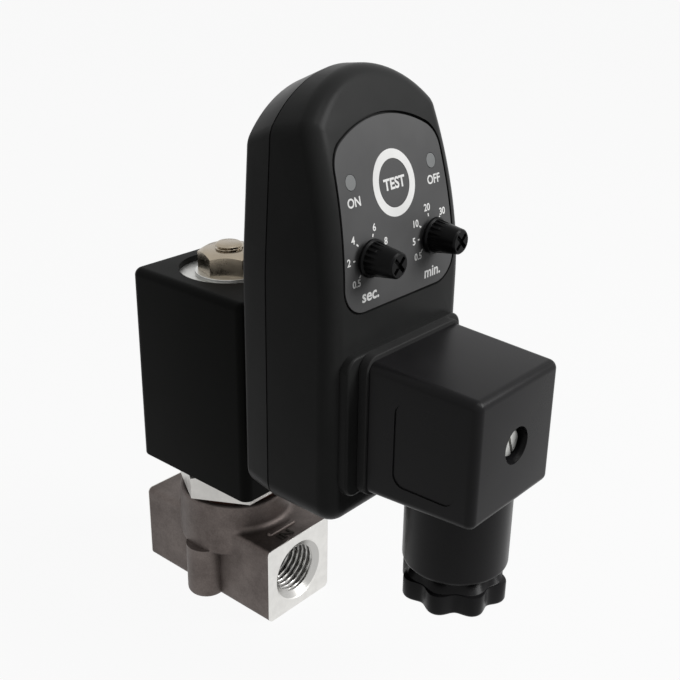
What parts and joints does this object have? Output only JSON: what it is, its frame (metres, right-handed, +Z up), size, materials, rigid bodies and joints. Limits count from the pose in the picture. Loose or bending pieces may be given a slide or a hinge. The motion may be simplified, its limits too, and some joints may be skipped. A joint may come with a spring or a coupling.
{
  "type": "automatic drain valve",
  "caption": "Solenoid drain valve for compressed-air condensate: ported cast body, encapsulated coil, timer module with two setting knobs and a test button, and a cable plug.",
  "frame": {"origin": "on the armature axis, in the plane of the valve body's underside, midway between its two mounting holes", "axes": "+Z up along the armature, +X towards the inlet port and the timer's front, +Y completes the right-handed frame"},
  "size_m": [0.0952, 0.04, 0.1256],
  "materials": {
    "cast_stainless": "bead-blasted cast stainless steel, port faces machined bright",
    "seal_rubber": "reddish-brown rubber",
    "stainless": "turned stainless steel",
    "black_rubber": "matte black rubber",
    "yoke_steel": "zinc-plated pressed steel",
    "bobbin_white": "natural nylon",
    "copper": "enamelled copper wire",
    "coil_black": "moulded black resin, satin",
    "contact_tin": "tin-plated brass",
    "brass": "plain turned brass",
    "zinc_steel": "zinc-plated steel",
    "nickel_brass": "nickel-plated brass, slightly yellow",
    "grey_rubber": "pale grey rubber",
    "timer_black": "fine-grained black moulding",
    "board_green": "green circuit board",
    "relay_blue": "moulded electronic parts",
    "pot_blue": "moulded potentiometer bodies",
    "knob_black": "black fluted moulding",
    "lamp_grey": "milky unlit lens",
    "label_grey": "dark grey printed film",
    "plug_black": "black moulding, semi-gloss"
  },
  "bodies": {
    "valve": {"valve_body": "cast_stainless", "body_seal_ring": "seal_rubber", "bonnet": "stainless", "guide_tube": "stainless", "fixed_core": "stainless", "coil_washer": "zinc_steel", "coil_nut": "nickel_brass"},
    "coil_head": {"coil_yoke": "yoke_steel", "coil_bobbin": "bobbin_white", "coil_winding": "copper", "coil_housing": "coil_black", "coil_terminals": "contact_tin", "coil_screw_insert": "brass", "timer_gasket": "grey_rubber", "timer_rear_shell": "timer_black", "timer_front_shell": "timer_black", "timer_sockets": "contact_tin", "timer_pins": "contact_tin", "timer_board": "board_green", "board_parts": "relay_blue", "potentiometers": "pot_blue", "tact_switch": "knob_black", "on_lamp": "lamp_grey", "off_lamp": "lamp_grey", "label_panel": "label_grey", "timer_case_screws": "zinc_steel", "plug_gasket": "grey_rubber", "plug_housing": "plug_black", "plug_terminal_block": "bobbin_white", "plug_contacts": "contact_tin", "plug_terminal_screws": "zinc_steel", "plug_screw": "zinc_steel", "plug_screw_seal": "black_rubber", "gland_washer": "zinc_steel", "gland_grommet": "black_rubber"},
    "plunger": {"plunger": "stainless", "plunger_seal": "black_rubber", "plunger_spring": "stainless"},
    "test_button": {"test_button": "label_grey"},
    "seconds_knob": {"seconds_knob": "knob_black"},
    "minutes_knob": {"minutes_knob": "knob_black"},
    "gland_nut": {"gland_nut": "plug_black"}
  },
  "joints": [
    {"name": "coil_swivel", "type": "hinge", "parent": "valve", "child": "coil_head", "pos_m": [0, 0, 0.055], "axis": [0, 0, 1], "continuous": true},
    {"name": "plunger_lift", "type": "slide", "parent": "valve", "child": "plunger", "axis": [0, 0, 1], "range_m": [0, 0.0018], "stiffness_N_per_m": 300, "springref_m": -0.006, "deforming": ["plunger_spring"]},
    {"name": "test_press", "type": "slide", "parent": "coil_head", "child": "test_button", "axis": [-1, 0, 0], "range_m": [0, 0.0005], "stiffness_N_per_m": 500, "springref_m": -0.0015},
    {"name": "seconds_set", "type": "hinge", "parent": "coil_head", "child": "seconds_knob", "pos_m": [0.047, -0.0094, 0.0938], "axis": [1, 0, 0], "range_deg": [-135, 135]},
    {"name": "minutes_set", "type": "hinge", "parent": "coil_head", "child": "minutes_knob", "pos_m": [0.047, 0.0094, 0.0938], "axis": [1, 0, 0], "range_deg": [-135, 135]},
    {"name": "gland_nut_turn", "type": "hinge", "parent": "coil_head", "child": "gland_nut", "pos_m": [0.0629, 0, 0.03], "axis": [0, 0, -1], "range_deg": [0, 330]}
  ]
}
